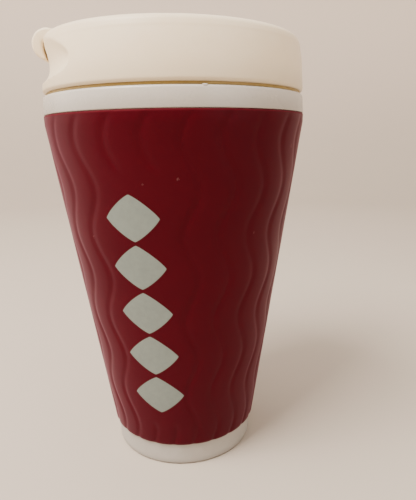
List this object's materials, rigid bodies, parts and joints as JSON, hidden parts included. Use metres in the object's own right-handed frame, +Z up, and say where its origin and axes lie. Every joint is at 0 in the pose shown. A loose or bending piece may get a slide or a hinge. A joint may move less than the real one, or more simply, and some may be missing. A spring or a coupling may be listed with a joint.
{
  "type": "reusable travel cup",
  "caption": "Double-wall travel cup with a ripple sleeve, a screw lid and a flip tab that plugs the drinking hole.",
  "frame": {"origin": "centre of the base's underside, on the cup's axis", "axes": "+Z up along the cup's axis; -X towards the drinking end and the flip tab's hooked end; -Y is the printed front"},
  "size_m": [0.0944, 0.0924, 0.1564],
  "materials": {
    "white_plastic": "satin gloss, lightly scuffed",
    "sleeve_plastic": "burgundy, semi-gloss, with a pale print",
    "cream_plastic": "cream, satin gloss, slightly yellowed",
    "seal_silicone": "amber silicone, aged",
    "stopper_silicone": "pale grey silicone, matt"
  },
  "bodies": {
    "cup": {"inner_cup": "white_plastic", "ripple_sleeve": "sleeve_plastic", "base_cap": "white_plastic"},
    "seal": {"lid_seal": "seal_silicone"},
    "lid": {"lid": "cream_plastic"},
    "tab": {"flip_tab": "cream_plastic", "tab_stopper": "stopper_silicone"}
  },
  "joints": [
    {"name": "lid_lift", "type": "slide", "parent": "cup", "child": "seal", "axis": [0, 0, 1], "range_m": [0, 0.005]},
    {"name": "lid_turn", "type": "hinge", "parent": "seal", "child": "lid", "pos_m": [0, 0, 0.134], "axis": [0, 0, 1], "range_deg": [0, 450.1]},
    {"name": "tab_flip", "type": "hinge", "parent": "lid", "child": "tab", "pos_m": [-0.008, 0, 0.15325], "axis": [0, 1, 0], "range_deg": [0, 175]}
  ],
  "couplings": [
    {"joint": "lid_turn", "follows": "lid_lift", "rad_per_m": 1570.8}
  ]
}
